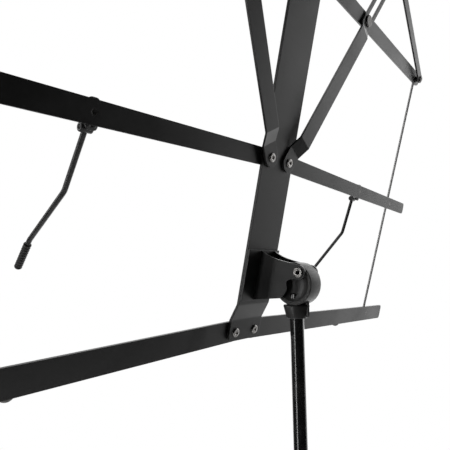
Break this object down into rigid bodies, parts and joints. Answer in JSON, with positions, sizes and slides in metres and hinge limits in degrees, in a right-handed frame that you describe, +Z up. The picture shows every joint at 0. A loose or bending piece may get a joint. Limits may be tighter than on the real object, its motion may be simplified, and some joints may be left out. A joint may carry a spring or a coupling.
{
  "type": "folding music stand",
  "caption": "Folding music stand: a flat-bar desk with hinged wings and page holders on a telescopic column with a folding tripod.",
  "frame": {"origin": "on the floor, on the column's axis", "axes": "+Z up along the column; -Y is the player's side, which the page shelf faces; +X is the player's right"},
  "size_m": [0.5394, 0.4678, 1.1873],
  "materials": {
    "satin_black": "satin black paint on flat steel",
    "gloss_black": "gloss black coating on steel tube",
    "bright_rivet": "bright plated",
    "dark_wire": "black coated spring wire",
    "bright_wire": "satin plated steel wire",
    "black_plastic": "satin moulded plastic",
    "black_rubber": "matt"
  },
  "bodies": {
    "column": {"lower_tube": "gloss_black", "lower_clamp": "black_plastic", "tube_plug": "black_plastic", "bottom_hub": "black_plastic", "bottom_hub_rivets": "bright_rivet"},
    "lower_clamp_screw": {"lower_clamp_screw": "black_plastic"},
    "middle": {"middle_tube": "gloss_black", "upper_clamp": "black_plastic"},
    "upper_clamp_screw": {"upper_clamp_screw": "black_plastic"},
    "rod": {"upper_rod": "gloss_black"},
    "hub": {"tilt_hub": "black_plastic"},
    "desk": {"stem": "satin_black", "tilt_bracket": "satin_black", "bracket_rivets": "bright_rivet", "desk_rivets": "bright_rivet", "tilt_rivet": "bright_rivet", "tilt_washers": "satin_black"},
    "slider": {"tripod_slider": "black_plastic", "slider_pins": "bright_rivet"},
    "tripod_lock_screw": {"tripod_lock_screw": "black_plastic"},
    "right_ledge": {"right_ledge": "satin_black", "right_ledge_pins": "satin_black"},
    "right_mid_bar": {"right_mid_bar": "satin_black", "right_mid_bar_pins": "satin_black", "right_holder_strap": "satin_black"},
    "right_holder": {"right_holder_wire": "dark_wire", "right_holder_sleeve": "black_rubber"},
    "right_arm": {"right_arm": "satin_black", "right_arm_pin": "satin_black"},
    "right_strut": {"right_strut": "satin_black", "right_peak_rivet": "satin_black"},
    "right_slot_rivet": {"right_slot_rivet": "satin_black"},
    "right_link": {"right_link": "satin_black"},
    "right_outer_rod": {"right_outer_rod": "bright_wire"},
    "left_ledge": {"left_ledge": "satin_black", "left_ledge_pins": "satin_black"},
    "left_mid_bar": {"left_mid_bar": "satin_black", "left_mid_bar_pins": "satin_black", "left_holder_strap": "satin_black"},
    "left_holder": {"left_holder_wire": "dark_wire", "left_holder_sleeve": "black_rubber"},
    "left_arm": {"left_arm": "satin_black", "left_arm_pin": "satin_black"},
    "left_strut": {"left_strut": "satin_black", "left_peak_rivet": "satin_black"},
    "left_slot_rivet": {"left_slot_rivet": "satin_black"},
    "left_link": {"left_link": "satin_black"},
    "left_outer_rod": {"left_outer_rod": "bright_wire"},
    "leg_1": {"leg_1": "gloss_black", "leg_1_tip": "black_rubber", "leg_1_rivet": "bright_rivet"},
    "brace_1": {"brace_1": "gloss_black"},
    "leg_2": {"leg_2": "gloss_black", "leg_2_tip": "black_rubber", "leg_2_rivet": "bright_rivet"},
    "brace_2": {"brace_2": "gloss_black"},
    "leg_3": {"leg_3": "gloss_black", "leg_3_tip": "black_rubber", "leg_3_rivet": "bright_rivet"},
    "brace_3": {"brace_3": "gloss_black"}
  },
  "joints": [
    {"name": "middle_slide", "type": "slide", "parent": "column", "child": "middle", "axis": [0, 0, 1], "range_m": [-0.214, 0.09]},
    {"name": "rod_slide", "type": "slide", "parent": "middle", "child": "rod", "axis": [0, 0, 1], "range_m": [-0.196, 0.11]},
    {"name": "lower_clamp_screw_turn", "type": "hinge", "parent": "column", "child": "lower_clamp_screw", "pos_m": [0, 0, 0.434], "axis": [0, 1, 0], "range_deg": [0, 360]},
    {"name": "upper_clamp_screw_turn", "type": "hinge", "parent": "middle", "child": "upper_clamp_screw", "pos_m": [0, 0, 0.684], "axis": [0, 1, 0], "range_deg": [0, 360]},
    {"name": "desk_swivel", "type": "hinge", "parent": "rod", "child": "hub", "pos_m": [0, 0, 0.914], "axis": [0, 0, 1], "continuous": true},
    {"name": "desk_tilt", "type": "hinge", "parent": "hub", "child": "desk", "pos_m": [0, 0.0072, 0.9212], "axis": [-1, 0, 0], "range_deg": [-13.4, 70]},
    {"name": "right_wing_fold", "type": "hinge", "parent": "desk", "child": "right_arm", "pos_m": [0.0142, 0.02224, 1.12414], "axis": [0, -0.9728, 0.2317], "range_deg": [0, 64]},
    {"name": "right_ledge_fold", "type": "hinge", "parent": "desk", "child": "right_ledge", "pos_m": [0.0142, -0.03593, 0.87997], "axis": [0, -0.9728, 0.2317], "range_deg": [0, 64]},
    {"name": "right_bar_fold", "type": "hinge", "parent": "desk", "child": "right_mid_bar", "pos_m": [0.0142, -0.00812, 0.99671], "axis": [0, -0.9728, 0.2317], "range_deg": [0, 64]},
    {"name": "right_strut_fold", "type": "hinge", "parent": "desk", "child": "right_strut", "pos_m": [0.0142, -0.00812, 0.99671], "axis": [0, -0.9728, 0.2317], "range_deg": [0, 19.81]},
    {"name": "right_link_fold", "type": "hinge", "parent": "right_arm", "child": "right_link", "pos_m": [0.21558, 0.02061, 1.1173], "axis": [0, -0.9728, 0.2317], "range_deg": [0, 30.23]},
    {"name": "right_rod_fold", "type": "hinge", "parent": "right_arm", "child": "right_outer_rod", "pos_m": [0.21558, 0.02061, 1.1173], "axis": [0, -0.9728, 0.2317], "range_deg": [-64, 0]},
    {"name": "right_slot_slide", "type": "slide", "parent": "right_strut", "child": "right_slot_rivet", "axis": [0.497, 0.2011, 0.8441], "range_m": [0, 0.05101]},
    {"name": "right_holder_swing", "type": "hinge", "parent": "right_mid_bar", "child": "right_holder", "pos_m": [0.14039, -0.01946, 0.98794], "axis": [-0.9994, 0.0081, 0.0339], "range_deg": [-21, 56]},
    {"name": "left_wing_fold", "type": "hinge", "parent": "desk", "child": "left_arm", "pos_m": [-0.0062, 0.02224, 1.12414], "axis": [0, 0.9728, -0.2317], "range_deg": [0, 64]},
    {"name": "left_ledge_fold", "type": "hinge", "parent": "desk", "child": "left_ledge", "pos_m": [-0.0062, -0.03593, 0.87997], "axis": [0, 0.9728, -0.2317], "range_deg": [0, 64]},
    {"name": "left_bar_fold", "type": "hinge", "parent": "desk", "child": "left_mid_bar", "pos_m": [-0.0062, -0.00812, 0.99671], "axis": [0, 0.9728, -0.2317], "range_deg": [0, 64]},
    {"name": "left_strut_fold", "type": "hinge", "parent": "desk", "child": "left_strut", "pos_m": [-0.0062, -0.00812, 0.99671], "axis": [0, 0.9728, -0.2317], "range_deg": [0, 19.81]},
    {"name": "left_link_fold", "type": "hinge", "parent": "left_arm", "child": "left_link", "pos_m": [-0.20758, 0.02061, 1.1173], "axis": [0, 0.9728, -0.2317], "range_deg": [0, 30.23]},
    {"name": "left_rod_fold", "type": "hinge", "parent": "left_arm", "child": "left_outer_rod", "pos_m": [-0.20758, 0.02061, 1.1173], "axis": [0, 0.9728, -0.2317], "range_deg": [-64, 0]},
    {"name": "left_slot_slide", "type": "slide", "parent": "left_strut", "child": "left_slot_rivet", "axis": [-0.497, 0.2011, 0.8441], "range_m": [0, 0.05101]},
    {"name": "left_holder_swing", "type": "hinge", "parent": "left_mid_bar", "child": "left_holder", "pos_m": [-0.13239, -0.01946, 0.98794], "axis": [-0.9994, -0.0081, -0.0339], "range_deg": [-2.5, 74.5]},
    {"name": "tripod_slide", "type": "slide", "parent": "column", "child": "slider", "axis": [0, 0, 1], "range_m": [0, 0.12222]},
    {"name": "tripod_lock_screw_turn", "type": "hinge", "parent": "slider", "child": "tripod_lock_screw", "pos_m": [0, 0, 0.17487], "axis": [-0.866, 0.5, 0], "range_deg": [0, 360]},
    {"name": "leg_1_spread", "type": "hinge", "parent": "slider", "child": "leg_1", "pos_m": [0, 0.02, 0.17487], "axis": [-1, 0, 0], "range_deg": [0, 58.01]},
    {"name": "brace_1_fold", "type": "hinge", "parent": "leg_1", "child": "brace_1", "pos_m": [0, 0.13025, 0.10598], "axis": [-1, 0, 0], "range_deg": [-116.01, 0]},
    {"name": "leg_2_spread", "type": "hinge", "parent": "slider", "child": "leg_2", "pos_m": [-0.01732, -0.01, 0.17487], "axis": [0.5, -0.866, 0], "range_deg": [0, 58.01]},
    {"name": "brace_2_fold", "type": "hinge", "parent": "leg_2", "child": "brace_2", "pos_m": [-0.1128, -0.06512, 0.10598], "axis": [0.5, -0.866, 0], "range_deg": [-116.01, 0]},
    {"name": "leg_3_spread", "type": "hinge", "parent": "slider", "child": "leg_3", "pos_m": [0.01732, -0.01, 0.17487], "axis": [0.5, 0.866, 0], "range_deg": [0, 58.01]},
    {"name": "brace_3_fold", "type": "hinge", "parent": "leg_3", "child": "brace_3", "pos_m": [0.1128, -0.06512, 0.10598], "axis": [0.5, 0.866, 0], "range_deg": [-116.01, 0]}
  ],
  "couplings": [
    {"joint": "right_ledge_fold", "follows": "right_wing_fold", "ratio": 1},
    {"joint": "right_bar_fold", "follows": "right_wing_fold", "ratio": 1},
    {"joint": "right_strut_fold", "follows": "right_wing_fold", "ratio": 0.3094},
    {"joint": "right_link_fold", "follows": "right_wing_fold", "ratio": 0.47221},
    {"joint": "right_rod_fold", "follows": "right_wing_fold", "ratio": -1},
    {"joint": "right_slot_slide", "follows": "right_wing_fold", "m_per_rad": 0.045661},
    {"joint": "left_ledge_fold", "follows": "left_wing_fold", "ratio": 1},
    {"joint": "left_bar_fold", "follows": "left_wing_fold", "ratio": 1},
    {"joint": "left_strut_fold", "follows": "left_wing_fold", "ratio": 0.3094},
    {"joint": "left_link_fold", "follows": "left_wing_fold", "ratio": 0.47221},
    {"joint": "left_rod_fold", "follows": "left_wing_fold", "ratio": -1},
    {"joint": "left_slot_slide", "follows": "left_wing_fold", "m_per_rad": 0.045661},
    {"joint": "leg_1_spread", "follows": "tripod_slide", "rad_per_m": 8.2825},
    {"joint": "brace_1_fold", "follows": "tripod_slide", "rad_per_m": -16.565},
    {"joint": "leg_2_spread", "follows": "tripod_slide", "rad_per_m": 8.2825},
    {"joint": "brace_2_fold", "follows": "tripod_slide", "rad_per_m": -16.565},
    {"joint": "leg_3_spread", "follows": "tripod_slide", "rad_per_m": 8.2825},
    {"joint": "brace_3_fold", "follows": "tripod_slide", "rad_per_m": -16.565}
  ]
}
